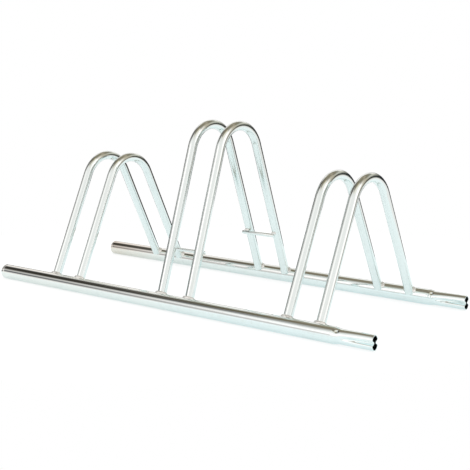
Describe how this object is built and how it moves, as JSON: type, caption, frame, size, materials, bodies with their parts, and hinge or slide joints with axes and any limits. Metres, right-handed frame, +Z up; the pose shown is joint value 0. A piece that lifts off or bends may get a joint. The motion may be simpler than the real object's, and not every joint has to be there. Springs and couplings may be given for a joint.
{
  "type": "bicycle floor rack",
  "caption": "Low welded tube rack that holds bicycles upright by a wheel in slots between pairs of arched hoops, with socket and spigot rail ends for joining racks in a row.",
  "frame": {"origin": "on the floor under the middle of the rack's bounding box", "axes": "+X along the base rails from their open sockets to their crimped spigots, +Y from the front rail to the rear rail that carries the rods, +Z up"},
  "size_m": [0.978, 0.3838, 0.3708],
  "materials": {
    "tube": "bright zinc plate on steel tube, mirror-like",
    "rod": "bright zinc plate on drawn steel rod",
    "weld": "zinc plate over a rough weld bead"
  },
  "bodies": {
    "root": {"front_rail": "tube", "rear_rail": "tube", "left_pair_left_hoop": "tube", "left_pair_right_hoop": "tube", "centre_pair_left_hoop": "tube", "centre_pair_right_hoop": "tube", "right_pair_left_hoop": "tube", "right_pair_right_hoop": "tube", "wheel_stop_rod": "rod", "stub_rod": "rod", "left_pair_left_hoop_front_weld": "weld", "left_pair_left_hoop_rear_weld": "weld", "left_pair_right_hoop_front_weld": "weld", "left_pair_right_hoop_rear_weld": "weld", "centre_pair_left_hoop_front_weld": "weld", "centre_pair_left_hoop_rear_weld": "weld", "centre_pair_right_hoop_front_weld": "weld", "centre_pair_right_hoop_rear_weld": "weld", "right_pair_left_hoop_front_weld": "weld", "right_pair_left_hoop_rear_weld": "weld", "right_pair_right_hoop_front_weld": "weld", "right_pair_right_hoop_rear_weld": "weld", "wheel_stop_rod_left_weld": "weld", "wheel_stop_rod_right_weld": "weld", "stub_rod_weld": "weld"}
  },
  "joints": []
}
